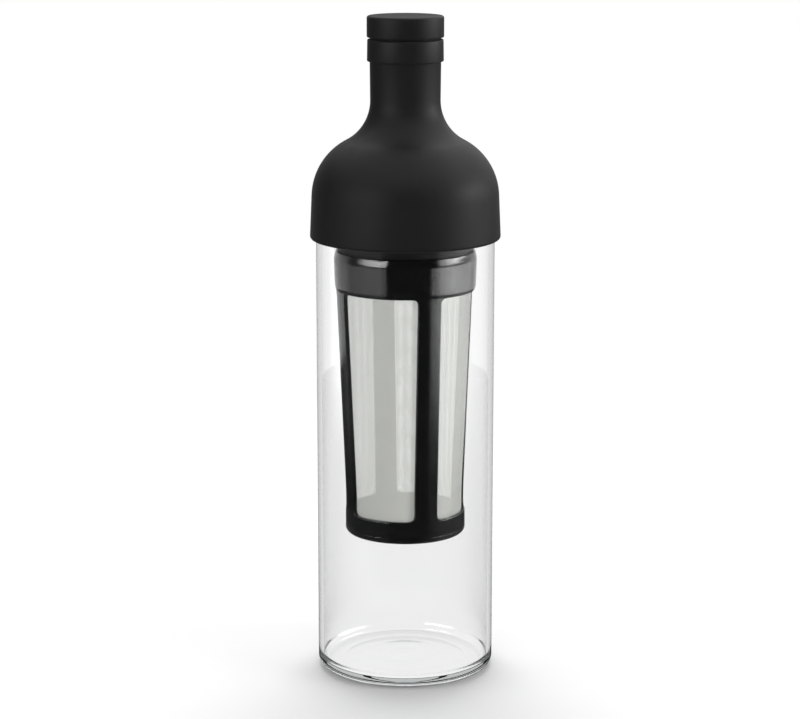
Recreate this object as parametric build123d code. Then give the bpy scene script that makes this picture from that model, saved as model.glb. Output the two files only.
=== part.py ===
from build123d import *
import math
import os

# Cold brew coffee bottle: a straight glass bottle, a silicone bottleneck that pushes on
# over its rim, a stopper, and a mesh strainer that hangs from the bottleneck inside.
# Millimetres. The bottle stands on z = 0 with its axis on Z, and its front faces -Y.

# Glass bottle: a borosilicate tube with a closed base
glass_height = 213.0
glass_od = 80.5
glass_wall = 2.2
glass_base = 4.2
glass_heel_radius = 5.0
glass_inner_heel_radius = 4.0
punt_diameter = 56.0
punt_depth = 1.2

# Fits: clearance on each side
grip_clearance = 0.05
plug_clearance = 0.05
spigot_clearance = 0.05
base_clearance = 0.05

# Silicone spout: skirt over the glass, shoulder, neck and neck ring
skirt_wall = 2.7
skirt_overlap = 13.8
skirt_edge_radius = 1.3
web_thickness = 3.0
shoulder_wall = 2.4
shoulder_draft = 1.6
shoulder_rise = 23.7
shoulder_slope_rise = 13.5
neck_blend_radius = 20.5
neck_diameter = 31.2
neck_flare = 0.3
neck_length = 29.6
neck_top_length = 17.0
neck_bore = 24.8
ring_height = 9.7
ring_diameter = 33.9
ring_taper = 0.15
ring_edge_radius = 0.5

# Hanger: the spout's inner ring, a web on the glass rim and a spigot for the strainer
hanger_drop = 17.6
hanger_diameter = 64.8
throat_diameter = 55.2
spigot_depth = 10.0
hanger_edge_radius = 0.5

# Stopper: a cap disc on a hollow plug with sealing ribs
cap_diameter = 34.4
cap_thickness = 9.5
cap_edge_radius = 1.0
cap_gap = 0.9
cap_step_diameter = 31.0
plug_length = 16.0
plug_relief = 0.6
plug_core_diameter = 17.0
plug_core_depth = 18.0
rib_count = 3
rib_height = 1.6

# Strainer frame: collar, four struts and a base ring
strut_count = 4
strut_angle_deg = 20.5
strut_width = 10.5
frame_wall = 1.9
collar_height = 16.4
collar_low_diameter = 64.0
collar_edge_radius = 1.2
collar_step_height = 1.4
strut_top_diameter = 63.0
base_ring_diameter = 54.9
base_blend_rise = 9.0
base_blend_radius = 120.0
window_height = 102.6
window_corner_radius = 2.3
sill_height = 7.5

# Mesh panels, each let into a rebate on the inside of its window
mesh_thickness = 0.3
mesh_overlap = 1.5

# Strainer base: the pull-off cover that closes the strainer
cover_thickness = 3.0
cover_floor = 1.8
cover_edge_radius = 2.4
cover_plug_height = 5.0
cover_plug_wall = 1.6

# Heights that the pieces share, from the table upwards
seat_z = glass_height
skirt_bottom_z = seat_z - skirt_overlap
web_top_z = seat_z + web_thickness
shoulder_z = seat_z + shoulder_rise
neck_foot_z = shoulder_z + shoulder_slope_rise
ring_bottom_z = neck_foot_z + neck_length
neck_split_z = ring_bottom_z - neck_top_length
ring_top_z = ring_bottom_z + ring_height
cap_bottom_z = ring_top_z + cap_gap
cap_top_z = cap_bottom_z + cap_thickness
collar_top_z = seat_z - hanger_drop
collar_bottom_z = collar_top_z - collar_height
strut_top_z = collar_bottom_z - collar_step_height
window_top_z = strut_top_z
window_bottom_z = window_top_z - window_height
frame_bottom_z = window_bottom_z - sill_height
blend_z = window_bottom_z + base_blend_rise
cover_bottom_z = frame_bottom_z - cover_thickness

# Radii that the pieces share
skirt_bore_r = glass_od / 2 + grip_clearance
hanger_r = hanger_diameter / 2
throat_r = throat_diameter / 2
neck_bore_r = neck_bore / 2
base_ring_r = base_ring_diameter / 2
base_bore_r = base_ring_r - frame_wall
collar_bore_r = hanger_r - (hanger_diameter - collar_low_diameter) / 2 - frame_wall
spigot_r = collar_bore_r - spigot_clearance

# Length left straight between two arcs that nearly meet
arc_margin = 0.1


def turned(corners):
    """Revolve a closed half section about Z. Each corner is (radius, z, corner radius)."""
    points = [(r, z) for r, z, _ in corners]
    with BuildSketch(Plane.XZ) as section:
        with BuildLine():
            FilletPolyline(*points, radius=[rounding for _, _, rounding in corners], close=True)
        make_face()
    return revolve(section.sketch, axis=Axis.Z, revolution_arc=360)


def heading(start, end):
    """Angle in degrees of the line from start to end, measured from straight down."""
    return math.degrees(math.atan2(end[0] - start[0], start[1] - end[1]))


def joined_radius(before, start, end, after, first_radius, last_radius):
    """Radius at end that fills the lines on both sides of it.

    first_radius has rounded the corner at start, and last_radius a square one at after.
    """
    slope = heading(start, end)
    first_turn = math.radians(abs(slope - heading(before, start)))
    second_turn = math.radians(abs(slope - heading(end, after)))
    room_before = math.dist(start, end) - first_radius * math.tan(first_turn / 2)
    room_after = math.dist(end, after) - last_radius
    return (min(room_before, room_after) - arc_margin) / math.tan(second_turn / 2)


def glass_bottle():
    outer_r = glass_od / 2
    inner_r = outer_r - glass_wall
    rim = glass_wall / 2 - arc_margin / 2
    body = turned([
        (0, 0, 0),
        (outer_r, 0, glass_heel_radius),
        (outer_r, glass_height, rim),
        (inner_r, glass_height, rim),
        (inner_r, glass_base, glass_inner_heel_radius),
        (0, glass_base, 0),
    ])
    punt_r = punt_diameter / 2
    dome_r = (punt_r**2 + punt_depth**2) / (2 * punt_depth)
    return body - Pos(0, 0, punt_depth - dome_r) * Sphere(dome_r)


def spout_shell():
    """Skirt, shoulder and neck in one wall. The inside follows the outside, one wall further in."""
    skirt_r = skirt_bore_r + skirt_wall
    shoulder_r = skirt_r - shoulder_draft
    neck_r = neck_diameter / 2
    ring_r = ring_diameter / 2
    skirt_edge = (skirt_r, skirt_bottom_z)
    shoulder = (shoulder_r, shoulder_z)
    neck_foot = (neck_r, neck_foot_z)
    neck_top = (neck_r + neck_flare, ring_bottom_z)
    shoulder_radius = joined_radius(
        neck_top, neck_foot, shoulder, skirt_edge, neck_blend_radius, skirt_edge_radius
    )

    slope = math.radians(heading(neck_foot, shoulder))
    inner_shoulder_r = shoulder_r - shoulder_wall
    web_corner = (inner_shoulder_r, web_top_z)
    bore_top = (neck_bore_r, ring_top_z)

    def under_slope(radius):
        drop = (radius - neck_r) / math.tan(slope)
        return (radius, neck_foot_z - drop - shoulder_wall / math.sin(slope))

    inner_foot = under_slope(neck_bore_r)
    inner_shoulder = under_slope(inner_shoulder_r)
    inner_blend = neck_blend_radius + shoulder_wall
    inner_radius = joined_radius(bore_top, inner_foot, inner_shoulder, web_corner, inner_blend, 0)
    return turned([
        (skirt_bore_r, skirt_bottom_z, hanger_edge_radius),
        (*skirt_edge, skirt_edge_radius),
        (*shoulder, shoulder_radius),
        (*neck_foot, neck_blend_radius),
        (*neck_top, 0),
        (ring_r + ring_taper, ring_bottom_z, ring_edge_radius),
        (ring_r, ring_top_z, ring_edge_radius),
        (*bore_top, ring_edge_radius),
        (*inner_foot, inner_blend),
        (*inner_shoulder, inner_radius),
        (*web_corner, 0),
        (skirt_bore_r, web_top_z, 0),
    ])


def spout_hanger():
    spigot_z = collar_top_z - spigot_depth
    edge = hanger_edge_radius
    return turned([
        (throat_r, web_top_z, edge),
        (throat_r, spigot_z, edge),
        (spigot_r, spigot_z, edge),
        (spigot_r, collar_top_z, 0),
        (hanger_r, collar_top_z, edge),
        (hanger_r, seat_z, edge),
        (skirt_bore_r, seat_z, 0),
        (skirt_bore_r, web_top_z, 0),
    ])


def stopper():
    cap_r = cap_diameter / 2
    step_r = cap_step_diameter / 2
    rib_r = neck_bore_r - plug_clearance
    body_r = rib_r - plug_relief
    core_r = plug_core_diameter / 2
    plug_z = ring_top_z - plug_length
    core_top_z = plug_z + plug_core_depth
    corners = [
        (0, cap_top_z, 0),
        (0, core_top_z, 0),
        (core_r, core_top_z, cap_edge_radius),
        (core_r, plug_z, 0),
        (body_r, plug_z, plug_relief),
    ]
    pitch = plug_length / (rib_count + 1)
    for rib in range(rib_count):
        rib_z = plug_z + pitch * (rib + 1)
        corners += [
            (body_r, rib_z - rib_height / 2, 0),
            (rib_r, rib_z, rib_height / 8),
            (body_r, rib_z + rib_height / 2, 0),
        ]
    corners += [
        (body_r, ring_top_z, 0),
        (step_r, ring_top_z, 0),
        (step_r, cap_bottom_z, 0),
        (cap_r, cap_bottom_z, cap_edge_radius / 2),
        (cap_r, cap_top_z, cap_edge_radius),
    ]
    return turned(corners)


def window_cutter(index, margin):
    """Space between two struts, grown by margin on every side, with rounded corners."""
    reach = hanger_diameter
    low_z = window_bottom_z - margin
    height = window_height + 2 * margin
    edge = strut_width / 2 - margin
    turn = strut_angle_deg + 360 / strut_count * index
    sides = []
    for side, strut in ((1, turn), (-1, turn + 360 / strut_count)):
        middle = Pos(0, side * (edge + reach / 2), low_z + height / 2)
        opening = middle * (Plane.YZ * RectangleRounded(reach, height, window_corner_radius + margin))
        slab = extrude(opening, amount=reach)
        sides.append(Rot(0, 0, strut) * slab)
    return sides[0] & sides[1]


def inner_face(offset):
    """Corners of the strainer's inner face from base to collar, moved outwards by offset."""
    blend = base_blend_radius + frame_wall - offset
    return [
        (base_bore_r + offset, frame_bottom_z, 0),
        (base_bore_r + offset, blend_z, blend),
        (strut_top_diameter / 2 - frame_wall + offset, strut_top_z, 0),
        (collar_bore_r + offset, collar_top_z - spigot_depth, 0),
    ]


def mesh_panels():
    """One curved panel for each window, reaching behind the frame by the overlap."""
    inside = inner_face(0)
    sleeve = turned(inside + inner_face(mesh_thickness)[::-1])
    return [sleeve & window_cutter(index, mesh_overlap) for index in range(strut_count)]


def strainer_frame(panels):
    body = turned([
        *inner_face(0),
        (collar_bore_r, collar_top_z, 0),
        (hanger_r, collar_top_z, collar_edge_radius),
        (collar_low_diameter / 2, collar_bottom_z, collar_step_height / 3),
        (strut_top_diameter / 2, strut_top_z, collar_step_height / 3),
        (base_ring_r, blend_z, base_blend_radius),
        (base_ring_r, frame_bottom_z, 0),
    ])
    for index, panel in enumerate(panels):
        body -= window_cutter(index, 0)
        body -= panel
    return body


def strainer_base():
    plug_r = base_bore_r - base_clearance
    plug_top_z = frame_bottom_z + cover_plug_height
    floor_z = cover_bottom_z + cover_floor
    edge = cover_plug_wall / 4
    return turned([
        (0, cover_bottom_z, 0),
        (base_ring_r, cover_bottom_z, cover_edge_radius),
        (base_ring_r, frame_bottom_z, 0),
        (plug_r, frame_bottom_z, 0),
        (plug_r, plug_top_z, edge),
        (plug_r - cover_plug_wall, plug_top_z, edge),
        (plug_r - cover_plug_wall, floor_z, cover_plug_wall / 2),
        (0, floor_z, 0),
    ])


panels = mesh_panels()
shell = spout_shell()
neck_split = Plane.XY.offset(neck_split_z)
pieces = {
    "glass_bottle": glass_bottle(),
    "spout_shoulder": split(shell, neck_split, Keep.BOTTOM),
    "spout_neck": split(shell, neck_split, Keep.TOP),
    "spout_hanger": spout_hanger(),
    "stopper": stopper(),
    "strainer_frame": strainer_frame(panels),
    "strainer_base": strainer_base(),
}
for number, panel in enumerate(panels, start=1):
    pieces[f"mesh_panel_{number}"] = panel

os.makedirs("parts", exist_ok=True)
for name, piece in pieces.items():
    export_step(piece, f"parts/{name}.step")
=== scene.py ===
"""Dressed model of a cold brew coffee bottle.

A straight glass bottle carries a silicone spout with a stopper, and a mesh strainer hangs
inside from the spout. The bottle stands on z = 0 with its axis on Z, and its front faces -Y.
Sizes are written in millimetres and turned to metres where a mesh is made.
"""

import logging
import math
from collections.abc import Callable, Iterable, Sequence
from dataclasses import dataclass
from enum import Enum
from itertools import pairwise

import bmesh
import bpy
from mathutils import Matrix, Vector


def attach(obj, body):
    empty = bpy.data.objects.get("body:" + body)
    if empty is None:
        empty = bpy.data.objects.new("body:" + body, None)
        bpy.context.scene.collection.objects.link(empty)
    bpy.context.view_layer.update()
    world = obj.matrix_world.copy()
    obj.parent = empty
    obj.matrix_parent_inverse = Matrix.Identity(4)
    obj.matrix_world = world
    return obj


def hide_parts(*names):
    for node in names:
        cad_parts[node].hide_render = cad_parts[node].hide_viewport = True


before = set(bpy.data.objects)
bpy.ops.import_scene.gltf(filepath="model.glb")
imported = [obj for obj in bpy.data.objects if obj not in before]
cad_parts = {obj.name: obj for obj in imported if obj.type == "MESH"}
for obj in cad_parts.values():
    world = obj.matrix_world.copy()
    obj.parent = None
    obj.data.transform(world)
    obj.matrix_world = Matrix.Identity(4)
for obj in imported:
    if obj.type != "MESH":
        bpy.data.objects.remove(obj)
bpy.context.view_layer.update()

log = logging.getLogger("cold_brew_bottle")

MM = 0.001
WELD = 0.002  # closer points than this, in millimetres, are one point
SLACK = 0.1  # how far past a window's ends its edges are looked for, in millimetres
SAME_TURN = 0.00002  # angles closer than this, in radians, are one angle
CHORD = 0.008  # how far a rounding's edges may cut inside its arc, in millimetres
WIDEST_CUT = 0.3  # and the same as a share of the rounding's radius
CREASE_DEG = 32.0  # a turned piece's faces that meet at more than this keep their edge
SHARP = 1.0  # angle in radians at which a modelled edge counts as sharp
Element = bmesh.types.BMVert | bmesh.types.BMEdge | bmesh.types.BMFace

# Where pieces meet, in millimetres
TUBE_RADIUS = 40.25
TUBE_TOP = 213.0
NECK_TOP = 289.5
COLLAR_RADIUS = 32.4
COLLAR_BORE = 30.1
COLLAR_TOP = 195.4
SPIGOT_FOOT = 185.4
FIT = 0.05  # gap between pieces that are pushed together

WHITE = (1.0, 1.0, 1.0, 1.0)
NOISE_LOW, NOISE_HIGH = 0.3, 0.7  # the range that a noise texture seldom leaves


class Body(Enum):
    """The moving bodies that pieces ride on."""

    BOTTLE = "bottle"
    SPOUT = "spout"
    STOPPER = "stopper"
    STRAINER = "strainer"
    COVER = "strainer_cover"


class Slot(Enum):
    """Names of material slots for the four finishes; no piece is given one of them."""

    GLASS = "glass"
    SILICONE = "silicone"
    POLYPROPYLENE = "polypropylene"
    MESH = "polyester_mesh"


class Face(Enum):
    """The two faces of the strainer's wall."""

    OUTER = 1
    INNER = -1


class Crossed(Enum):
    """How often a ray has crossed the glass's surface: above one number and below another."""

    NEVER = (-0.5, 0.5)
    AT_ALL = (0.5, 99.0)
    THREE_TIMES_AT_MOST = (0.5, 3.5)
    THREE_TIMES_OR_MORE = (2.5, 99.0)
    FOUR_TIMES_OR_MORE = (3.5, 99.0)


# ---------------------------------------------------------------- node helpers


def srgb(code: str) -> tuple[float, float, float, float]:
    """Turns an sRGB hex colour to linear.

    Args:
        code: Colour such as "#1b1b1c".

    Returns:
        Linear red, green and blue, and an alpha of 1.
    """
    parts = [int(code[place:place + 2], 16) / 255 for place in (1, 3, 5)]
    linear = [p / 12.92 if p <= 0.04045 else ((p + 0.055) / 1.055) ** 2.4 for p in parts]
    return (*linear, 1.0)


def add_node(
    tree: bpy.types.NodeTree,
    kind: str,
    settings: dict[str, object] | None = None,
    links: dict[str | int, object] | None = None,
) -> bpy.types.Node:
    """Adds a node, sets it up and links its inputs.

    Args:
        tree: Node tree that gets the node.
        kind: Blender's name of the node type.
        settings: Attributes of the node.
        links: For each input, by name or number, an output to link or a value to set.

    Returns:
        The new node.
    """
    node = tree.nodes.new(kind)
    for name, value in (settings or {}).items():
        setattr(node, name, value)
    for name, value in (links or {}).items():
        if isinstance(value, bpy.types.NodeSocket):
            tree.links.new(value, node.inputs[name])
        else:
            node.inputs[name].default_value = value
    return node


def new_material(name: str) -> tuple[bpy.types.Material, bpy.types.NodeTree]:
    """Makes an empty node material.

    Args:
        name: Name of the material.

    Returns:
        The material and its node tree.
    """
    material = bpy.data.materials.new(name)
    material.use_nodes = True
    material.node_tree.nodes.clear()
    return material, material.node_tree


# ---------------------------------------------------------------- finishes


@dataclass(frozen=True)
class BorosilicateGlass:
    """Drawn and fire-polished borosilicate tube.

    The eye sees a colourless wall that greys only where it is looked along, and a faint
    waviness left by drawing.
    """

    ior: float = 1.473
    tint: str = "#e9eeee"
    absorption: float = 9.0  # per metre
    wave_length: float = 34.0
    wave_height: float = 0.004
    wave_spread: float = 0.35  # the waves run along the tube, so they lie wider apart up it
    shadow_tint: str = "#fafbfb"
    heel_tint: str = "#181a1a"
    heel_height: float = 27.0  # lamps shine clearly through the wall from twice this height

    def material(self) -> bpy.types.Material:
        """Builds the material.

        Returns:
            The glass material.
        """
        material, tree = new_material("borosilicate_glass")
        place = add_node(tree, "ShaderNodeTexCoord")
        stretch = add_node(
            tree, "ShaderNodeMapping", None,
            {"Vector": place.outputs["Object"], "Scale": (1, 1, self.wave_spread)},
        )
        waves = add_node(
            tree, "ShaderNodeTexNoise", None,
            {"Vector": stretch.outputs[0], "Scale": 1 / (self.wave_length * MM), "Detail": 1.0},
        )
        bump = add_node(
            tree, "ShaderNodeBump", None,
            {"Height": waves.outputs[0], "Strength": 1.0, "Distance": self.wave_height * MM},
        )
        glass = add_node(
            tree, "ShaderNodeBsdfPrincipled", None,
            {
                "Base Color": WHITE,
                "Roughness": 0.0,
                "IOR": self.ior,
                "Transmission Weight": 1.0,
                "Normal": bump.outputs[0],
            },
        )
        # Lamps shine through the wall, as they do through real glass, and less through the heel
        height = add_node(tree, "ShaderNodeSeparateXYZ", None, {0: place.outputs["Object"]})
        above = add_node(
            tree, "ShaderNodeMapRange", None,
            {0: height.outputs[2], 1: self.heel_height * MM, 2: 2 * self.heel_height * MM},
        )
        shade = add_node(
            tree, "ShaderNodeMix", {"data_type": "RGBA"},
            {0: above.outputs[0], 6: srgb(self.heel_tint), 7: srgb(self.shadow_tint)},
        )
        clear = add_node(tree, "ShaderNodeBsdfTransparent", None, {"Color": shade.outputs[2]})
        rays = add_node(tree, "ShaderNodeLightPath")
        mixed = add_node(
            tree, "ShaderNodeMixShader", None,
            {0: rays.outputs["Is Shadow Ray"], 1: glass.outputs[0], 2: clear.outputs[0]},
        )
        body = add_node(
            tree, "ShaderNodeVolumeAbsorption", None,
            {"Color": srgb(self.tint), "Density": self.absorption},
        )
        add_node(
            tree, "ShaderNodeOutputMaterial", None,
            {"Surface": mixed.outputs[0], "Volume": body.outputs[0]},
        )
        return material


@dataclass(frozen=True)
class MouldedSilicone:
    """Black silicone rubber, compression moulded in a spark-eroded tool.

    The eye sees a soft matt black with a fine even grain, a broad dull shine and slight
    clouding where hands have polished it.
    """

    colour: str = "#0e0e0f"
    cloud_colour: str = "#111112"
    ior: float = 1.43
    roughness: float = 0.5
    roughness_spread: float = 0.05
    cloud_size: float = 22.0
    # The tool's grain is about 0.1 mm, and is drawn coarser so that it shows
    grain_size: float = 0.45
    grain_height: float = 0.012
    sheen: float = 0.02
    sheen_roughness: float = 0.5

    def material(self) -> bpy.types.Material:
        """Builds the material.

        Returns:
            The silicone material.
        """
        material, tree = new_material("moulded_silicone")
        place = add_node(tree, "ShaderNodeTexCoord").outputs["Object"]
        clouds = add_node(
            tree, "ShaderNodeTexNoise", None,
            {"Vector": place, "Scale": 1 / (self.cloud_size * MM), "Detail": 3.0},
        )
        grain = add_node(
            tree, "ShaderNodeTexNoise", None,
            {"Vector": place, "Scale": 1 / (self.grain_size * MM), "Detail": 1.0},
        )
        colour = add_node(
            tree, "ShaderNodeMix", {"data_type": "RGBA"},
            {0: clouds.outputs[0], 6: srgb(self.colour), 7: srgb(self.cloud_colour)},
        )
        roughness = add_node(
            tree, "ShaderNodeMapRange", None,
            {
                0: clouds.outputs[0], 1: NOISE_LOW, 2: NOISE_HIGH,
                3: self.roughness - self.roughness_spread,
                4: self.roughness + self.roughness_spread,
            },
        )
        bump = add_node(
            tree, "ShaderNodeBump", None,
            {"Height": grain.outputs[0], "Strength": 1.0, "Distance": self.grain_height * MM},
        )
        rubber = add_node(
            tree, "ShaderNodeBsdfPrincipled", None,
            {
                "Base Color": colour.outputs[2],
                "Roughness": roughness.outputs[0],
                "IOR": self.ior,
                "Sheen Weight": self.sheen,
                "Sheen Roughness": self.sheen_roughness,
                "Normal": bump.outputs[0],
            },
        )
        add_node(tree, "ShaderNodeOutputMaterial", None, {"Surface": rubber.outputs[0]})
        return material


@dataclass(frozen=True)
class MouldedPolypropylene:
    """Black polypropylene, injection moulded in a polished tool.

    The eye sees a deep gloss black whose reflections are slightly soft and wander with the
    shallow sink of the moulded wall.
    """

    colour: str = "#0b0b0c"
    ior: float = 1.49
    roughness: float = 0.11
    roughness_spread: float = 0.03
    flow_size: float = 9.0
    sink_height: float = 0.006

    def material(self) -> bpy.types.Material:
        """Builds the material.

        Returns:
            The polypropylene material.
        """
        material, tree = new_material("moulded_polypropylene")
        place = add_node(tree, "ShaderNodeTexCoord").outputs["Object"]
        flow = add_node(
            tree, "ShaderNodeTexNoise", None,
            {"Vector": place, "Scale": 1 / (self.flow_size * MM), "Detail": 2.0},
        )
        roughness = add_node(
            tree, "ShaderNodeMapRange", None,
            {
                0: flow.outputs[0], 1: NOISE_LOW, 2: NOISE_HIGH,
                3: self.roughness - self.roughness_spread,
                4: self.roughness + self.roughness_spread,
            },
        )
        bump = add_node(
            tree, "ShaderNodeBump", None,
            {"Height": flow.outputs[0], "Strength": 1.0, "Distance": self.sink_height * MM},
        )
        plastic = add_node(
            tree, "ShaderNodeBsdfPrincipled", None,
            {
                "Base Color": srgb(self.colour),
                "Roughness": roughness.outputs[0],
                "IOR": self.ior,
                "Normal": bump.outputs[0],
            },
        )
        add_node(tree, "ShaderNodeOutputMaterial", None, {"Surface": plastic.outputs[0]})
        return material


@dataclass(frozen=True)
class WovenPolyester:
    """Plain-woven white polyester monofilament mesh.

    The eye sees a pale even veil: the threads catch the light and the open squares between
    them show what lies behind.
    """

    colour: str = "#f0f0eb"
    ior: float = 1.57
    roughness: float = 0.6
    # The real pitch is about 0.25 mm, and is drawn coarser so that the weave shows
    pitch: float = 0.42
    thread_share: float = 0.34
    thread_edge: float = 0.03  # how soft a thread's edge is, as a share of the pitch
    thread_height: float = 0.05
    relief: float = 0.6
    fuzz: float = 0.12  # how far an opening is veiled, because threads scatter light past them
    wander: float = 0.16  # how far a thread strays, in millimetres
    wander_length: float = 1.3

    def material(self) -> bpy.types.Material:
        """Builds the material, which reads the panel's UV map in metres.

        Returns:
            The mesh material.
        """
        material, tree = new_material("woven_polyester")
        place = add_node(tree, "ShaderNodeUVMap", {"uv_map": "weave"}).outputs[0]
        drift = add_node(
            tree, "ShaderNodeTexNoise", None,
            {"Vector": place, "Scale": 1 / (self.wander_length * MM), "Detail": 1.0},
        )
        strayed = add_node(
            tree, "ShaderNodeVectorMath", {"operation": "MULTIPLY_ADD"},
            {0: drift.outputs["Color"], 1: (2 * self.wander * MM,) * 3, 2: place},
        )
        spread = add_node(
            tree, "ShaderNodeVectorMath", {"operation": "SCALE"},
            {0: strayed.outputs[0], "Scale": 1 / (self.pitch * MM)},
        )
        axes = add_node(tree, "ShaderNodeSeparateXYZ", None, {0: spread.outputs[0]})
        threads = []
        for axis in (0, 1):
            across = add_node(
                tree, "ShaderNodeMath", {"operation": "PINGPONG"}, {0: axes.outputs[axis], 1: 0.5}
            )
            threads.append(across.outputs[0])
        nearest = add_node(
            tree, "ShaderNodeMath", {"operation": "MINIMUM"}, {0: threads[0], 1: threads[1]}
        )
        cover = add_node(
            tree, "ShaderNodeMapRange", None,
            {
                0: nearest.outputs[0], 1: self.thread_share / 2 - self.thread_edge,
                2: self.thread_share / 2 + self.thread_edge, 3: 1.0, 4: self.fuzz,
            },
        )
        bump = add_node(
            tree, "ShaderNodeBump", {"invert": True},
            {
                "Height": nearest.outputs[0], "Strength": self.relief,
                "Distance": self.thread_height * MM,
            },
        )
        thread = add_node(
            tree, "ShaderNodeBsdfPrincipled", None,
            {
                "Base Color": srgb(self.colour),
                "Roughness": self.roughness,
                "IOR": self.ior,
                "Alpha": cover.outputs[0],
                "Normal": bump.outputs[0],
            },
        )
        add_node(tree, "ShaderNodeOutputMaterial", None, {"Surface": thread.outputs[0]})
        return material


# ---------------------------------------------------------------- modelling helpers


@dataclass(frozen=True)
class Corner:
    """One corner of a turned section, in millimetres.

    Attributes:
        r: Distance from the axis.
        z: Height.
        rounding: Radius of the arc that rounds the corner, 0 where it stays sharp.
    """

    r: float
    z: float
    rounding: float = 0.0


def rounded(corners: Sequence[Corner]) -> list[Vector]:
    """Rounds the corners of a section.

    Args:
        corners: The section's corners in order. The last is joined to the first.

    Returns:
        Points along the section as (r, z), in millimetres.
    """
    points = []
    for index, corner in enumerate(corners):
        here = Vector((corner.r, corner.z))
        if not corner.rounding:
            points.append(here)
            continue
        before, after = corners[index - 1], corners[(index + 1) % len(corners)]
        into = (here - Vector((before.r, before.z))).normalized()
        out = (Vector((after.r, after.z)) - here).normalized()
        turn = -into.angle_signed(out)
        side = Vector((-into.y, into.x)) * math.copysign(corner.rounding, turn)
        start = here - into * corner.rounding * math.tan(abs(turn) / 2)
        middle = start + side
        widest = 2 * math.acos(1 - min(CHORD / corner.rounding, WIDEST_CUT))
        steps = max(2, math.ceil(abs(turn) / widest))
        for step in range(steps + 1):
            angle = turn * step / steps
            arm = -side
            points.append(middle + Vector((
                arm.x * math.cos(angle) - arm.y * math.sin(angle),
                arm.x * math.sin(angle) + arm.y * math.cos(angle),
            )))
    kept = [points[0]]
    kept += [there for here, there in pairwise(points) if (there - here).length > WELD]
    return kept


def deselect_objects() -> None:
    """Deselects every object."""
    bpy.ops.object.select_all(action="DESELECT")


def select_places(
    piece: bpy.types.Object, mode: str, test: Callable[[Vector, Element], bool]
) -> None:
    """Selects vertices, edges or faces of the piece in edit mode, by where they are.

    Args:
        piece: Object in edit mode.
        mode: "VERT", "EDGE" or "FACE".
        test: Says whether an element is selected, from its middle and the element itself.
    """
    bpy.ops.mesh.select_mode(type=mode)
    bpy.ops.mesh.select_all(action="DESELECT")
    mesh = bmesh.from_edit_mesh(piece.data)
    if mode == "VERT":
        found = ((v, v.co) for v in mesh.verts)
    elif mode == "EDGE":
        found = ((e, (e.verts[0].co + e.verts[1].co) / 2) for e in mesh.edges)
    else:
        found = ((f, f.calc_center_median()) for f in mesh.faces)
    for element, middle in found:
        if test(middle, element):
            element.select_set(True)
    mesh.select_flush_mode()
    bmesh.update_edit_mesh(piece.data)


def turned(name: str, points: Sequence[Vector], closed: bool, steps: int) -> bpy.types.Object:
    """Draws a section from one point outwards and spins it round the bottle's axis.

    Args:
        name: Name of the piece.
        points: Points of the section as (r, z), in millimetres.
        closed: Whether the section is a ring, which doesn't touch the axis.
        steps: Faces round the axis.

    Returns:
        The piece, with its place in its mesh.
    """
    deselect_objects()
    start = Vector((points[0].x, 0, points[0].y)) * MM
    bpy.ops.mesh.primitive_plane_add(size=MM, location=start)
    piece = bpy.context.object
    piece.name = piece.data.name = name
    bpy.ops.object.transform_apply(location=True, rotation=True, scale=True)
    bpy.ops.object.mode_set(mode="EDIT")
    bpy.ops.mesh.select_mode(type="VERT")
    bpy.ops.mesh.select_all(action="SELECT")
    bpy.ops.mesh.merge(type="CENTER")
    route = [*points, points[0]] if closed else points
    for here, there in pairwise(route):
        step = Vector((there.x - here.x, 0, there.y - here.y)) * MM
        bpy.ops.mesh.extrude_vertices_move(TRANSFORM_OT_translate={"value": step})
    bpy.ops.mesh.select_all(action="SELECT")
    bpy.ops.mesh.remove_doubles(threshold=WELD * MM)
    bpy.ops.mesh.select_all(action="SELECT")
    bpy.ops.mesh.spin(steps=steps, angle=math.tau, center=(0, 0, 0), axis=(0, 0, 1))
    bpy.ops.mesh.select_all(action="SELECT")
    bpy.ops.mesh.remove_doubles(threshold=WELD * MM)
    turn_outwards()
    bpy.ops.object.mode_set(mode="OBJECT")
    bpy.ops.object.shade_smooth_by_angle(angle=math.radians(CREASE_DEG))
    return piece


def turn_outwards() -> None:
    """Turns the faces of the piece in edit mode outwards."""
    bpy.ops.mesh.select_all(action="SELECT")
    bpy.ops.mesh.normals_make_consistent(inside=False)


def subdivide(piece: bpy.types.Object, levels: int, keep_corners: bool = False) -> None:
    """Rounds a piece with a subdivision surface and shades it smooth.

    Args:
        piece: The piece, active and in object mode.
        levels: How often its faces are divided.
        keep_corners: Whether the corners of its open edge stay where they are.
    """
    soft = piece.modifiers.new("soft", "SUBSURF")
    soft.levels = soft.render_levels = levels
    if keep_corners:
        soft.boundary_smooth = "PRESERVE_CORNERS"
    bpy.ops.object.modifier_apply(modifier=soft.name)
    bpy.ops.object.shade_smooth()


def turned_copy(piece: bpy.types.Object, name: str, turn: float) -> bpy.types.Object:
    """Copies a piece and turns the copy round the bottle's axis.

    Args:
        piece: The piece.
        name: Name of the copy.
        turn: Angle in radians.

    Returns:
        The copy, with its place in its mesh.
    """
    deselect_objects()
    piece.select_set(True)
    bpy.context.view_layer.objects.active = piece
    bpy.ops.object.duplicate(linked=False)
    copy = bpy.context.object
    copy.name = copy.data.name = name
    copy.rotation_euler.z = turn
    bpy.ops.object.transform_apply(location=True, rotation=True, scale=True)
    return copy


def dress(
    piece: bpy.types.Object,
    material: bpy.types.Material,
    body: Body,
    nodes: Iterable[str],
) -> bpy.types.Object:
    """Gives a finished piece its material, its body and the nodes it stands for.

    Args:
        piece: The finished piece.
        material: Its material.
        body: Body that it moves with.
        nodes: Nodes of the frame that it replaces.

    Returns:
        The piece.
    """
    piece.data.materials.clear()
    piece.data.materials.append(material)
    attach(piece, body.value)
    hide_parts(*nodes)
    log.info("%s: %d faces", piece.name, len(piece.data.polygons))
    return piece


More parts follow.
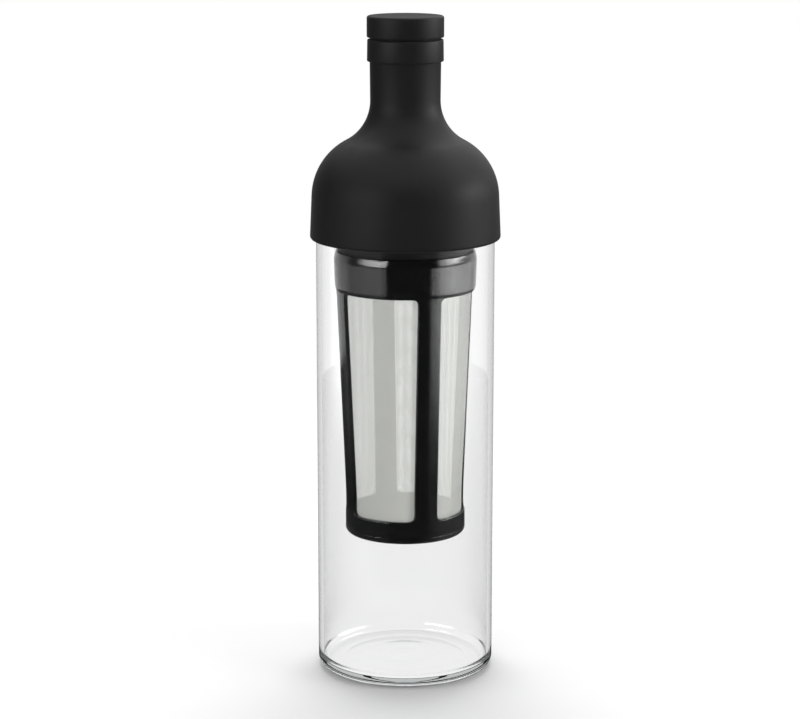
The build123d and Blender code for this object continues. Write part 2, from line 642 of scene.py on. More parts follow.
# ---------------------------------------------------------------- pieces


@dataclass
class GlassBottle:
    """Straight bottle drawn from borosilicate tube, with a closed base and a round rim."""

    radius: float = TUBE_RADIUS
    height: float = TUBE_TOP
    wall: float = 2.2
    base: float = 4.2
    heel_rounding: float = 5.0
    inner_heel_rounding: float = 4.0
    rim_flat: float = 0.02  # what the rim's two arcs leave between them, on each side
    punt_radius: float = 28.0
    punt_depth: float = 1.0
    punt_rounding: float = 120.0
    foot_rounding: float = 2.5
    floor_rounding: float = 60.0
    scar_radius: float = 3.6
    scar_edge_radius: float = 5.76
    scar_depth: float = 0.05
    scar_rounding: float = 20.0
    row_gap: float = 0.5
    steps: int = 192

    def section(self) -> list[Vector]:
        """Gives the wall's section from the middle of the base round the rim and back.

        The base is pushed up in the middle and is equally thick there. A row of points
        near each rounding keeps the long walls' normals level.

        Returns:
            Points as (r, z), in millimetres.
        """
        inner = self.radius - self.wall
        rim = self.wall / 2 - self.rim_flat
        dome = self.punt_radius / 2
        high = self.height - rim - self.row_gap
        floor = self.base + self.punt_depth
        return rounded([
            Corner(0, self.punt_depth),
            Corner(dome, self.punt_depth, self.punt_rounding),
            Corner(self.punt_radius, 0, self.foot_rounding),
            Corner(self.radius, 0, self.heel_rounding),
            Corner(self.radius, self.heel_rounding + self.row_gap),
            Corner(self.radius, high),
            Corner(self.radius, self.height, rim),
            Corner(inner, self.height, rim),
            Corner(inner, high),
            Corner(inner, self.base + self.inner_heel_rounding + self.row_gap),
            Corner(inner, self.base, self.inner_heel_rounding),
            Corner(self.punt_radius, self.base, self.floor_rounding),
            Corner(dome, floor, self.punt_rounding),
            Corner(self.scar_edge_radius, floor, self.scar_rounding),
            Corner(self.scar_radius, floor - self.scar_depth, self.scar_rounding),
            Corner(0, floor - self.scar_depth),
        ])

    def build(self, material: bpy.types.Material) -> bpy.types.Object:
        """Turns the bottle and dresses it.

        Args:
            material: The glass.

        Returns:
            The bottle.
        """
        piece = turned("bottle_glass", self.section(), closed=False, steps=self.steps)
        return dress(piece, material, Body.BOTTLE, ["glass_bottle"])


@dataclass
class Spout:
    """Silicone bottleneck: skirt, shoulder, neck and neck ring, with the hanger inside."""

    skirt_bore: float = TUBE_RADIUS + FIT
    skirt_radius: float = 43.0
    skirt_bottom: float = 200.4
    skirt_rounding: float = 1.3
    shoulder_radius: float = 41.4
    shoulder_height: float = 236.7
    shoulder_rounding: float = 28.55
    neck_radius: float = 15.6
    neck_foot: float = 250.2
    neck_rounding: float = 20.5
    neck_top_radius: float = 15.9
    ring_bottom: float = 279.8
    ring_top: float = NECK_TOP
    ring_low_radius: float = 17.1
    ring_high_radius: float = 16.95
    bore: float = 12.4
    wall: float = 2.4
    inner_foot: float = 249.17
    inner_shoulder: float = 235.25
    inner_shoulder_rounding: float = 23.5
    web_top: float = 216.0
    seat: float = TUBE_TOP
    throat: float = 27.6
    hanger_radius: float = COLLAR_RADIUS
    groove_radius: float = 30.3
    groove_height: float = 5.0
    collar_top: float = COLLAR_TOP
    spigot_radius: float = COLLAR_BORE - FIT
    spigot_bottom: float = SPIGOT_FOOT
    edge: float = 0.5
    crease: float = 0.25
    steps: int = 192

    def section(self) -> list[Vector]:
        """Gives the closed section of the moulding.

        Returns:
            Points as (r, z), in millimetres.
        """
        inner = self.shoulder_radius - self.wall
        return rounded([
            Corner(self.skirt_bore, self.skirt_bottom, self.edge),
            Corner(self.skirt_radius, self.skirt_bottom, self.skirt_rounding),
            Corner(self.shoulder_radius, self.shoulder_height, self.shoulder_rounding),
            Corner(self.neck_radius, self.neck_foot, self.neck_rounding),
            Corner(self.neck_top_radius, self.ring_bottom, self.crease),
            Corner(self.ring_low_radius, self.ring_bottom, self.edge),
            Corner(self.ring_high_radius, self.ring_top, self.edge),
            Corner(self.bore, self.ring_top, self.edge),
            Corner(self.bore, self.inner_foot, self.neck_rounding + self.wall),
            Corner(inner, self.inner_shoulder, self.inner_shoulder_rounding),
            Corner(inner, self.web_top, self.wall),
            Corner(self.throat, self.web_top, self.edge),
            Corner(self.throat, self.spigot_bottom, self.edge),
            Corner(self.spigot_radius, self.spigot_bottom, self.edge),
            Corner(self.spigot_radius, self.collar_top),
            Corner(self.groove_radius, self.collar_top),
            Corner(self.hanger_radius, self.collar_top + self.groove_height, self.edge),
            Corner(self.hanger_radius, self.seat, self.edge),
            Corner(self.skirt_bore, self.seat, self.edge),
        ])

    def build(self, material: bpy.types.Material) -> bpy.types.Object:
        """Turns the spout and dresses it.

        Args:
            material: The silicone.

        Returns:
            The spout.
        """
        piece = turned("spout", self.section(), closed=True, steps=self.steps)
        nodes = ["spout_shoulder", "spout_neck", "spout_hanger"]
        return dress(piece, material, Body.SPOUT, nodes)


@dataclass
class Stopper:
    """Silicone stopper: a cap disc on a hollow plug with sealing ribs."""

    cap_radius: float = 17.2
    cap_bottom: float = 290.4
    cap_top: float = 299.9
    cap_rounding: float = 1.0
    cap_low_rounding: float = 0.5
    cap_edge_share: float = 0.8  # where the cap's flat edge ends, as a share of its radius
    cap_edge_fade: float = 4.0
    cap_dish_share: float = 0.5  # and where its dish is deepest
    cap_dish_fade: float = 30.0
    cap_dish: float = 0.12
    step_radius: float = 15.5
    ring_top: float = NECK_TOP
    plug_radius: float = 11.75
    plug_bottom: float = 273.5
    plug_rounding: float = 0.6
    core_radius: float = 8.5
    core_top: float = 291.5
    core_rounding: float = 1.0
    core_edge: float = 0.3
    crease: float = 0.1
    rib_count: int = 3
    rib_radius: float = 12.35
    rib_height: float = 1.6
    rib_crease: float = 0.15
    rib_rounding: float = 0.2
    steps: int = 160

    def section(self) -> list[Vector]:
        """Gives the section from the core's roof round the plug and the cap to the top.

        Returns:
            Points as (r, z), in millimetres.
        """
        ribs = []
        pitch = (self.ring_top - self.plug_bottom) / (self.rib_count + 1)
        for rib in range(self.rib_count):
            middle = self.plug_bottom + pitch * (rib + 1)
            ribs += [
                Corner(self.plug_radius, middle - self.rib_height / 2, self.rib_crease),
                Corner(self.rib_radius, middle, self.rib_rounding),
                Corner(self.plug_radius, middle + self.rib_height / 2, self.rib_crease),
            ]
        return rounded([
            Corner(0, self.core_top),
            Corner(self.core_radius, self.core_top, self.core_rounding),
            Corner(self.core_radius, self.plug_bottom, self.core_edge),
            Corner(self.plug_radius, self.plug_bottom, self.plug_rounding),
            *ribs,
            Corner(self.plug_radius, self.ring_top, self.crease),
            Corner(self.step_radius, self.ring_top, self.crease),
            Corner(self.step_radius, self.cap_bottom, self.crease),
            Corner(self.cap_radius, self.cap_bottom, self.cap_low_rounding),
            Corner(self.cap_radius, self.cap_top, self.cap_rounding),
            Corner(self.cap_radius * self.cap_edge_share, self.cap_top, self.cap_edge_fade),
            Corner(
                self.cap_radius * self.cap_dish_share, self.cap_top - self.cap_dish,
                self.cap_dish_fade,
            ),
            Corner(0, self.cap_top - self.cap_dish),
        ])

    def build(self, material: bpy.types.Material) -> bpy.types.Object:
        """Turns the stopper and dresses it.

        Args:
            material: The silicone.

        Returns:
            The stopper.
        """
        piece = turned("stopper_plug", self.section(), closed=False, steps=self.steps)
        return dress(piece, material, Body.STOPPER, ["stopper"])


@dataclass
class Strainer:
    """Polypropylene frame with four mesh windows, and the cover that closes its base."""

    strut_count: int = 4
    strut_angle_deg: float = 20.5
    strut_width: float = 10.5
    columns: int = 64
    edge_column: int = 2  # counted from a strut's middle, the column that follows its edge
    column_slack: float = 0.11  # how far off its column a point may be, as a share of their gap
    wall: float = 1.9
    bottom: float = 67.5
    window_bottom: float = 75.0
    blend: float = 84.0
    window_top: float = 177.6
    collar_bottom: float = 179.0
    collar_top: float = COLLAR_TOP
    base_radius: float = 27.45
    strut_top_radius: float = 31.5
    collar_low_radius: float = 32.0
    collar_radius: float = COLLAR_RADIUS
    collar_bore: float = COLLAR_BORE
    bore_foot: float = SPIGOT_FOOT
    corner_reach: float = 4.0  # how far the points next to a window's corner stand from it
    window_corner: float = 2.3
    corner_segments: int = 3
    corner_kept: float = 0.25  # how near a window's edge faces stay, as a share of its corner
    window_rows: int = 8
    window_edge: float = 0.32
    edge_segments: int = 2
    divisions: int = 2
    rim_edge: float = 0.3
    # Rows that hold the wall's shape when it is rounded. Those of the foot are steps in from
    # the wall's face and up from its foot, in rim_edge. The rest are in millimetres.
    foot_rows: tuple[tuple[float, float], ...] = ((1.0, 0.05), (0.0, 1.0), (0.0, 3.0))
    foot_outer_step: float = 2.5
    foot_inner_step: float = 2.0
    # Out from the struts' radius and up from the windows' head
    head_row: tuple[float, float] = (0.06, 0.45)
    # Out from the collar's low radius and up from its bottom
    step_rows: tuple[tuple[float, float], ...] = ((-0.1, -0.15), (0.02, 0.5), (0.1, 3.0))
    # In from the collar's radius and down from its top, round its soft outer rim
    rim_rows: tuple[tuple[float, float], ...] = (
        (0.03, 5.0), (0.0, 3.8), (0.08, 3.1), (0.26, 2.4), (0.47, 1.6),
        (0.68, 0.8), (0.83, 0.3), (1.02, 0.04), (1.5, 0.0),
    )
    # Out from the collar's bore and down from its top
    mouth_rows: tuple[tuple[float, float], ...] = ((0.25, 0.0), (0.0, 0.25), (0.0, 1.2))
    # In from the collar's bore and up from the bore's foot
    bore_rows: tuple[tuple[float, float], ...] = ((0.0, 1.0), (0.08, -1.0))
    # In from the collar's bore and up from the windows' head
    throat_row: tuple[float, float] = (0.35, 2.5)
    blend_rows: tuple[float, float] = (-2.0, 3.0)  # up from the foot of the struts' slope
    mesh_overlap: float = 1.5
    mesh_inset: float = 0.3
    cover_bottom: float = 64.5
    cover_rounding: float = 2.4
    cover_edge: float = 0.25
    cover_floor: float = 1.8
    plug_radius: float = 25.5
    plug_top: float = 72.5
    plug_wall: float = 1.6
    plug_crease: float = 0.1
    plug_edge: float = 0.4
    plug_foot: float = 0.8
    cover_steps: int = 160

    def strut_radius(self, z: float, face: Face) -> float:
        """Gives the wall's radius at a height within the windows.

        Args:
            z: Height in millimetres.
            face: Which face of the wall.

        Returns:
            Radius in millimetres.
        """
        share = max(0.0, (z - self.blend) / (self.window_top - self.blend))
        outer = self.base_radius + (self.strut_top_radius - self.base_radius) * share
        return outer if face is Face.OUTER else outer - self.wall

    def window_heights(self) -> list[float]:
        """Gives the heights of the rows of points along a window, from sill to head.

        Returns:
            Heights in millimetres.
        """
        below, above = self.blend_rows
        low, high = self.blend + above, self.window_top - self.corner_reach
        gap = (high - low) / (self.window_rows - 1)
        return [
            self.window_bottom,
            self.window_bottom + self.corner_reach,
            self.blend + below,
            *(low + gap * row for row in range(self.window_rows)),
            self.window_top,
        ]

    def frame_rows(self) -> list[tuple[float, float]]:
        """Gives the rows of points round the frame's wall: up its outer face and down inside.

        Returns:
            Radius and height of each row.
        """
        rim, base, bottom = self.rim_edge, self.base_radius, self.bottom
        bore = base - self.wall
        sill = self.window_bottom - self.corner_reach
        heights = self.window_heights()
        top, head = self.collar_top, self.window_top
        return [
            (base - self.foot_outer_step * rim, bottom),
            *((base - into * rim, bottom + up * rim) for into, up in self.foot_rows),
            (base, sill),
            *((self.strut_radius(z, Face.OUTER), z) for z in heights),
            (self.strut_top_radius + self.head_row[0], head + self.head_row[1]),
            *(
                (self.collar_low_radius + out, self.collar_bottom + up)
                for out, up in self.step_rows
            ),
            *((self.collar_radius - into, top - down) for into, down in self.rim_rows),
            *((self.collar_bore + out, top - down) for out, down in self.mouth_rows),
            *((self.collar_bore - into, self.bore_foot + up) for into, up in self.bore_rows),
            (self.collar_bore - self.throat_row[0], head + self.throat_row[1]),
            *((self.strut_radius(z, Face.INNER), z) for z in reversed(heights)),
            (bore, sill),
            *((bore + into * rim, bottom + up * rim) for into, up in reversed(self.foot_rows)),
            (bore + self.foot_inner_step * rim, bottom),
        ]

    def strut_offset(self, place: Vector) -> float:
        """Gives how far round a point is from the middle of the nearest strut.

        Args:
            place: A point on the wall.

        Returns:
            Angle in radians, positive anticlockwise seen from above.
        """
        apart = math.tau / self.strut_count
        turn = math.atan2(place.y, place.x) - self.first_strut()
        return (turn + apart / 2) % apart - apart / 2

    def first_strut(self) -> float:
        """Gives the first strut's angle from +X, in radians."""
        return math.radians(self.strut_angle_deg - 90)

    def ring(
        self, name: str, rows: Sequence[tuple[float, float]], margin: float
    ) -> bpy.types.Object:
        """Raises a ring of points row by row, and makes the struts' edges parallel.

        Args:
            name: Name of the piece.
            rows: Radius and height of each row, in millimetres.
            margin: How far behind the struts' edges the edge columns stand.

        Returns:
            The piece, left in edit mode.
        """
        deselect_objects()
        radius, height = rows[0]
        bpy.ops.mesh.primitive_circle_add(
            vertices=self.columns, radius=radius * MM, location=(0, 0, height * MM),
            rotation=(0, 0, self.first_strut()),
        )
        piece = bpy.context.object
        piece.name = piece.data.name = name
        bpy.ops.object.transform_apply(location=True, rotation=True, scale=True)
        bpy.ops.object.mode_set(mode="EDIT")
        bpy.ops.mesh.select_mode(type="VERT")
        bpy.ops.mesh.select_all(action="SELECT")
        for (here, low), (there, high) in pairwise(rows):
            bpy.ops.mesh.extrude_edges_move(
                TRANSFORM_OT_translate={"value": (0, 0, (high - low) * MM)}
            )
            bpy.ops.transform.resize(
                value=(there / here, there / here, 1), center_override=(0, 0, high * MM)
            )
        for radius, height in rows:
            half = math.asin((self.strut_width / 2 - margin) / radius)
            reach = math.asin((self.strut_width / 2 + self.corner_reach) / radius)
            for column, target in enumerate((half, reach), start=self.edge_column):
                for side in (1, -1):
                    self.turn_column(piece, (radius, height), side * column, side * target)
        return piece

    def turn_column(
        self, piece: bpy.types.Object, row: tuple[float, float], column: int, target: float
    ) -> None:
        """Turns one column's points in a row to where they belong, beside every strut.

        Args:
            piece: The ring, in edit mode.
            row: The row's radius and height, in millimetres.
            column: Number of the column, counted from a strut's middle.
            target: The angle from the strut's middle at which the points belong, in radians.
        """
        radius, height = row
        step = math.tau / self.columns

        def in_column(place: Vector, _: Element) -> bool:
            """Says whether a point is in this row and column."""
            return (
                abs(place.z - height * MM) < WELD * MM
                and abs(place.xy.length - radius * MM) < WELD * MM
                and abs(self.strut_offset(place) - column * step) < step * self.column_slack
            )

        select_places(piece, "VERT", in_column)
        bpy.ops.transform.rotate(
            value=column * step - target, orient_axis="Z", center_override=(0, 0, 0)
        )

    def in_window(self, place: Vector, margin: float) -> bool:
        """Says whether a face's middle lies in one of the windows.

        Args:
            place: Middle of the face.
            margin: How far behind the struts' edges the window reaches.

        Returns:
            True in a window.
        """
        edge = (self.strut_width / 2 - margin) * MM / place.xy.length
        inside = abs(self.strut_offset(place)) > edge
        return inside and self.window_bottom - margin < place.z / MM < self.window_top + margin

    def window_middle(self, window: int) -> float:
        """Gives the angle of a window's middle from +X, in radians."""
        return self.first_strut() + math.tau / self.strut_count * (window + 0.5)

    def is_at(self, place: Vector, window: int) -> bool:
        """Says whether a point lies between the middles of the struts beside a window.

        Args:
            place: A point on the wall.
            window: Number of the window, from 0.

        Returns:
            True between them.
        """
        middle = self.window_middle(window)
        towards = Vector((math.cos(middle), math.sin(middle)))
        return place.xy.normalized().dot(towards) > math.cos(math.pi / self.strut_count)

    def close_foot(self, piece: bpy.types.Object) -> None:
        """Joins the lowest rows of the wall's two faces.

        Args:
            piece: The frame, in edit mode.
        """
        select_places(piece, "EDGE", lambda p, _: abs(p.z - self.bottom * MM) < WELD * MM)
        bpy.ops.mesh.bridge_edge_loops()
        turn_outwards()

    def cut_windows(self, piece: bpy.types.Object) -> None:
        """Rounds the corners of the windows and opens both faces of the wall.

        Args:
            piece: The frame, in edit mode.
        """
        sill, head = self.window_bottom * MM, self.window_top * MM

        def at_corner(place: Vector, _: Element) -> bool:
            """Says whether a point is the corner of a window."""
            edge = math.asin(self.strut_width * MM / 2 / place.xy.length)
            level = min(abs(place.z - sill), abs(place.z - head)) < WELD * MM
            return level and abs(abs(self.strut_offset(place)) - edge) < SAME_TURN

        select_places(piece, "VERT", at_corner)
        bpy.ops.mesh.bevel(
            offset=self.window_corner * MM, segments=self.corner_segments, affect="VERTICES",
            clamp_overlap=False,
        )
        kept = self.window_corner * self.corner_kept
        select_places(piece, "FACE", lambda p, _: self.in_window(p, -kept))
        bpy.ops.mesh.delete(type="FACE")

    def line_windows(self, piece: bpy.types.Object) -> None:
        """Joins the wall's two faces round each window, and softens the edges that this makes.

        Args:
            piece: The frame, in edit mode.
        """
        for window in range(self.strut_count):
            select_places(
                piece, "EDGE", lambda p, edge: edge.is_boundary and self.is_at(p, window)
            )
            bpy.ops.mesh.bridge_edge_loops()
        turn_outwards()
        low, high = self.window_bottom - SLACK, self.window_top + SLACK
        select_places(
            piece, "EDGE",
            lambda p, edge: low * MM < p.z < high * MM and edge.calc_face_angle(0) > SHARP,
        )
        bpy.ops.mesh.bevel(
            offset=self.window_edge * MM, segments=self.edge_segments, affect="EDGES"
        )

    def build_frame(self, material: bpy.types.Material) -> bpy.types.Object:
        """Models the frame: a ring of walls, its windows cut, lined and rounded.

        Args:
            material: The polypropylene.

        Returns:
            The frame.
        """
        piece = self.ring("strainer_moulding", self.frame_rows(), margin=0)
        self.close_foot(piece)
        self.cut_windows(piece)
        self.line_windows(piece)
        bpy.ops.object.mode_set(mode="OBJECT")
        subdivide(piece, self.divisions)
        return dress(piece, material, Body.STRAINER, ["strainer_frame"])

    def build_panels(self, material: bpy.types.Material) -> list[bpy.types.Object]:
        """Models one mesh panel in the wall of its window, and copies it to the others.

        Args:
            material: The woven mesh.

        Returns:
            The four panels.
        """
        heights = self.window_heights()
        heights[0] -= self.mesh_overlap
        heights[-1] += self.mesh_overlap
        rows = [(self.strut_radius(z, Face.INNER) + self.mesh_inset, z) for z in heights]
        piece = self.ring("mesh_1", rows, margin=self.mesh_overlap)
        select_places(
            piece, "FACE",
            lambda p, _: not (self.in_window(p, self.mesh_overlap) and self.is_at(p, 0)),
        )
        bpy.ops.mesh.delete(type="FACE")
        turn_outwards()
        bpy.ops.object.mode_set(mode="OBJECT")
        subdivide(piece, self.divisions, keep_corners=True)
        self.map_weave(piece)
        quarter = math.tau / self.strut_count
        panels = [piece]
        for window in range(1, self.strut_count):
            panels.append(turned_copy(piece, f"mesh_{window + 1}", quarter * window))
        for number, panel in enumerate(panels, start=1):
            dress(panel, material, Body.STRAINER, [f"mesh_panel_{number}"])
        return panels

    def map_weave(self, piece: bpy.types.Object) -> None:
        """Lays a UV map in metres on the first panel: u round the wall and v up it.

        Args:
            piece: The panel.
        """
        middle = self.window_middle(0)
        around = (self.base_radius + self.strut_top_radius) / 2 * MM
        layer = piece.data.uv_layers.new(name="weave")
        for loop in piece.data.loops:
            place = piece.data.vertices[loop.vertex_index].co
            turn = (math.atan2(place.y, place.x) - middle + math.pi) % math.tau - math.pi
            layer.data[loop.index].uv = (turn * around, place.z)

    def build_cover(self, material: bpy.types.Material) -> bpy.types.Object:
        """Turns the cover that closes the strainer's base.

        Args:
            material: The polypropylene.

        Returns:
            The cover.
        """
        bore = self.plug_radius - self.plug_wall
        floor = self.cover_bottom + self.cover_floor
        points = rounded([
            Corner(0, self.cover_bottom),
            Corner(self.base_radius, self.cover_bottom, self.cover_rounding),
            Corner(self.base_radius, self.bottom, self.cover_edge),
            Corner(self.plug_radius, self.bottom, self.plug_crease),
            Corner(self.plug_radius, self.plug_top, self.plug_edge),
            Corner(bore, self.plug_top, self.plug_edge),
            Corner(bore, floor, self.plug_foot),
            Corner(0, floor),
        ])
        piece = turned(
            "strainer_cover_moulding", points, closed=False, steps=self.cover_steps
        )
        return dress(piece, material, Body.COVER, ["strainer_base"])


# ---------------------------------------------------------------- studio


@dataclass(frozen=True)
class Box:
    """A bright patch of the room that gloss mirrors.

    Attributes:
        turn: Where it starts and ends, in degrees from the front, positive towards +X.
        rise: Its lower and its upper edge, in degrees above the horizon.
        brightness: Its brightness.
        softness: Half the width of its first and of its other side edge, in degrees.
        fade: Half the width of its lower and upper edges, as a sine.
    """

    turn: tuple[float, float]
    rise: tuple[float, float]
    brightness: float
    softness: tuple[float, float] = (3.0, 3.0)
    fade: float = 0.03


@dataclass(frozen=True)
class Lamp:
    """A soft box that lights dull surfaces and isn't seen or mirrored itself.

    Attributes:
        name: Name of the lamp.
        place: Where it stands, in metres.
        size: Its width and height, in metres.
        power: Its power in watts.
    """

    name: str
    place: tuple[float, float, float]
    size: tuple[float, float]
    power: float


@dataclass
class Studio:
    """Pale floor, soft light from both sides and above, and the camera.

    Lengths are in metres, and a brightness of 1 is white.
    """

    floor_radius: float = 0.62
    floor_corners: int = 128
    floor_drop: float = 0.0003
    floor_rim: float = 0.34  # where the floor begins to turn into the white backdrop
    floor_colour: str = "#e4e4e4"
    floor_glow: float = 0.1
    floor_through: float = 0.88  # the share of its shade that is lost through glass
    floor_mirrored: float = 0.02  # what gloss mirrors of the floor, apart from the boxes
    # The floor mirrors the side boxes where it is far from the bottle, and hardly near it
    floor_mirror_start: float = 0.3
    floor_mirror_near: float = 0.05
    heel_reach: float = 0.11  # how far from the axis the floor lights the heel
    heel_fade: float = 0.3  # half the width of that reach's edge, as a share of it
    sky: float = 0.42
    crossed_share: float = 0.2  # the share of the sky's light that gets through the bottle
    room: float = 0.015
    trapped: float = 0.6  # what light that turns back more than once inside the glass brings
    trapped_after: float = 1.5  # between one and two reflections
    backdrop: float = 0.95
    backdrop_start_deg: float = 105.0
    backdrop_softness_deg: float = 15.0
    edge_on: float = 0.25  # what glass that is looked along mirrors of the backdrop
    edge_on_start_deg: float = 150.0
    side_boxes: tuple[Box, ...] = (
        Box(turn=(43, 122), rise=(-17, -3), brightness=1.1, softness=(4, 20)),
        Box(turn=(62, 94), rise=(-17, -3), brightness=1.8, softness=(16, 18)),
        Box(turn=(-95, -31), rise=(-17, -3), brightness=0.64, softness=(45, 2)),
    )
    upper_boxes: tuple[Box, ...] = (
        Box(turn=(70, 112), rise=(0, 14), brightness=4.5, softness=(10, 8)),
        Box(turn=(-70, -31), rise=(0, 13), brightness=3.2, softness=(8, 3)),
        Box(turn=(-400, 400), rise=(30, 90), brightness=0.62),  # all round
        Box(turn=(60, 170), rise=(5, 60), brightness=0.6, softness=(25, 25), fade=0.2),
    )
    rim_boxes: tuple[Box, ...] = (
        Box(turn=(70, 114), rise=(10, 36), brightness=17.0, softness=(22, 8), fade=0.06),
        Box(turn=(-72, -31), rise=(10, 36), brightness=11.0, softness=(16, 3), fade=0.06),
    )
    side_on_glass: float = 0.25  # how much of the side boxes the glass itself mirrors
    side_through_glass: float = 2.4  # and how much what stands behind the glass mirrors
    lamps: tuple[Lamp, ...] = (
        Lamp("right_box", place=(1.1, -0.5, 0.22), size=(0.7, 0.4), power=9.5),
        Lamp("left_box", place=(-1.2, -0.3, 0.22), size=(0.7, 0.4), power=5.0),
        Lamp("top_box", place=(0.0, 0.55, 1.25), size=(1.0, 0.8), power=14.5),
        Lamp("front_box", place=(-0.2, -1.4, 0.2), size=(1.0, 0.3), power=10.5),
    )
    lamp_aim: float = 0.15  # height on the axis that the lamps face
    image_width: int = 800
    focal_pixels: float = 2470.0
    sensor: float = 36.0  # width in millimetres
    camera_x: float = -0.0024
    camera_distance: float = 1.1
    camera_height: float = 0.3801
    camera_pitch_deg: float = 12.10
    camera_sight: float = 20.0
    bounces: int = 24
    glass_bounces: int = 16
    gloss_bounces: int = 8
    clear_bounces: int = 32

    def window(
        self, tree: bpy.types.NodeTree, value: bpy.types.NodeSocket,
        edges: Sequence[float], softness: Sequence[float], inside: float,
    ) -> bpy.types.NodeSocket:
        """Gives a soft-edged step: a value inside a range, and 0 outside it.

        Args:
            tree: Node tree of the world or of the floor.
            value: What is tested.
            edges: Start and end of the range.
            softness: Half the width of each edge.
            inside: Value inside the range.

        Returns:
            The step.
        """
        steps = []
        for edge, half, before, after in zip(edges, softness, (0.0, 1.0), (inside, 0.0)):
            steps.append(add_node(
                tree, "ShaderNodeMapRange", {"interpolation_type": "SMOOTHSTEP"},
                {0: value, 1: edge - half, 2: edge + half, 3: before, 4: after},
            ).outputs[0])
        return add_node(
            tree, "ShaderNodeMath", {"operation": "MULTIPLY"}, {0: steps[0], 1: steps[1]}
        ).outputs[0]

    def across(
        self, tree: bpy.types.NodeTree, turn: bpy.types.NodeSocket, box: Box
    ) -> bpy.types.NodeSocket:
        """Gives a box's brightness by its angle from the front alone.

        Args:
            tree: Node tree of the world or of the floor.
            turn: Angle from the front, in radians.
            box: The box.

        Returns:
            The brightness.
        """
        edges = [math.radians(angle) for angle in box.turn]
        softness = [math.radians(angle) for angle in box.softness]
        return self.window(tree, turn, edges, softness, box.brightness)

    def total(
        self, tree: bpy.types.NodeTree, values: Sequence[bpy.types.NodeSocket]
    ) -> bpy.types.NodeSocket:
        """Adds values up.

        Args:
            tree: Their node tree.
            values: The values.

        Returns:
            Their sum.
        """
        result = values[0]
        for value in values[1:]:
            result = add_node(
                tree, "ShaderNodeMath", {"operation": "ADD"}, {0: result, 1: value}
            ).outputs[0]
        return result

    def heading(
        self, tree: bpy.types.NodeTree, direction: bpy.types.NodeSocket
    ) -> bpy.types.NodeSocket:
        """Gives a direction's angle from the front, positive towards +X, in radians.

        Args:
            tree: Node tree of the world or of the floor.
            direction: Direction from the bottle.

        Returns:
            The angle.
        """
        axes = add_node(tree, "ShaderNodeSeparateXYZ", None, {0: direction})
        back = add_node(
            tree, "ShaderNodeMath", {"operation": "MULTIPLY"}, {0: axes.outputs[1], 1: -1.0}
        )
        return add_node(
            tree, "ShaderNodeMath", {"operation": "ARCTAN2"},
            {0: axes.outputs[0], 1: back.outputs[0]},
        ).outputs[0]

    def backdrop_glow(
        self, tree: bpy.types.NodeTree, turn: bpy.types.NodeSocket, start_deg: float, level: float
    ) -> bpy.types.NodeSocket:
        """Gives the brightness of the backdrop behind the bottle.

        Args:
            tree: Node tree of the world.
            turn: Angle from the front, in radians.
            start_deg: Angle on either side at which the backdrop begins, in degrees.
            level: Its brightness.

        Returns:
            The brightness.
        """
        away = add_node(tree, "ShaderNodeMath", {"operation": "ABSOLUTE"}, {0: turn})
        return add_node(
            tree, "ShaderNodeMapRange", {"interpolation_type": "SMOOTHSTEP"},
            {
                0: away.outputs[0],
                1: math.radians(start_deg - self.backdrop_softness_deg),
                2: math.radians(start_deg + self.backdrop_softness_deg),
                3: 0.0,
                4: level,
            },
        ).outputs[0]

    def crossings(self, tree: bpy.types.NodeTree, crossed: Crossed) -> bpy.types.NodeSocket:
        """Says whether a ray has crossed the glass's surface a number of times.

        Args:
            tree: Node tree of the world or of the floor.
            crossed: How many times.

        Returns:
            1 where it has, and 0 elsewhere.
        """
        least, most = crossed.value
        depth = add_node(tree, "ShaderNodeLightPath").outputs["Transmission Depth"]
        above = add_node(
            tree, "ShaderNodeMath", {"operation": "GREATER_THAN"}, {0: depth, 1: least}
        )
        below = add_node(tree, "ShaderNodeMath", {"operation": "LESS_THAN"}, {0: depth, 1: most})
        return add_node(
            tree, "ShaderNodeMath", {"operation": "MULTIPLY"},
            {0: above.outputs[0], 1: below.outputs[0]},
        ).outputs[0]

    def patches(
        self, tree: bpy.types.NodeTree, turn: bpy.types.NodeSocket,
        height: bpy.types.NodeSocket, boxes: Sequence[Box],
    ) -> list[bpy.types.NodeSocket]:
        """Gives the brightness that each box adds to the world.

        Args:
            tree: Node tree of the world.
            turn: Angle from the front, in radians.
            height: Sine of the angle above the horizon.
            boxes: The boxes.

        Returns:
            A brightness for each box.
        """
        values = []
        for box in boxes:
            edges = [math.sin(math.radians(angle)) for angle in box.rise]
            up = self.window(tree, height, edges, (box.fade, box.fade), 1.0)
            values.append(add_node(
                tree, "ShaderNodeMath", {"operation": "MULTIPLY"},
                {0: self.across(tree, turn, box), 1: up},
            ).outputs[0])
        return values

    def by_depth(
        self, tree: bpy.types.NodeTree, sides: bpy.types.NodeSocket
    ) -> bpy.types.NodeSocket:
        """Weighs the side boxes by whether the glass mirrors them or what stands behind it.

        Args:
            tree: Node tree of the world or of the floor.
            sides: The side boxes' brightness.

        Returns:
            The weighed brightness.
        """
        weight = add_node(
            tree, "ShaderNodeMapRange", None,
            {
                0: self.crossings(tree, Crossed.FOUR_TIMES_OR_MORE),
                3: self.side_on_glass,
                4: self.side_through_glass,
            },
        )
        return add_node(
            tree, "ShaderNodeMath", {"operation": "MULTIPLY"}, {0: sides, 1: weight.outputs[0]}
        ).outputs[0]

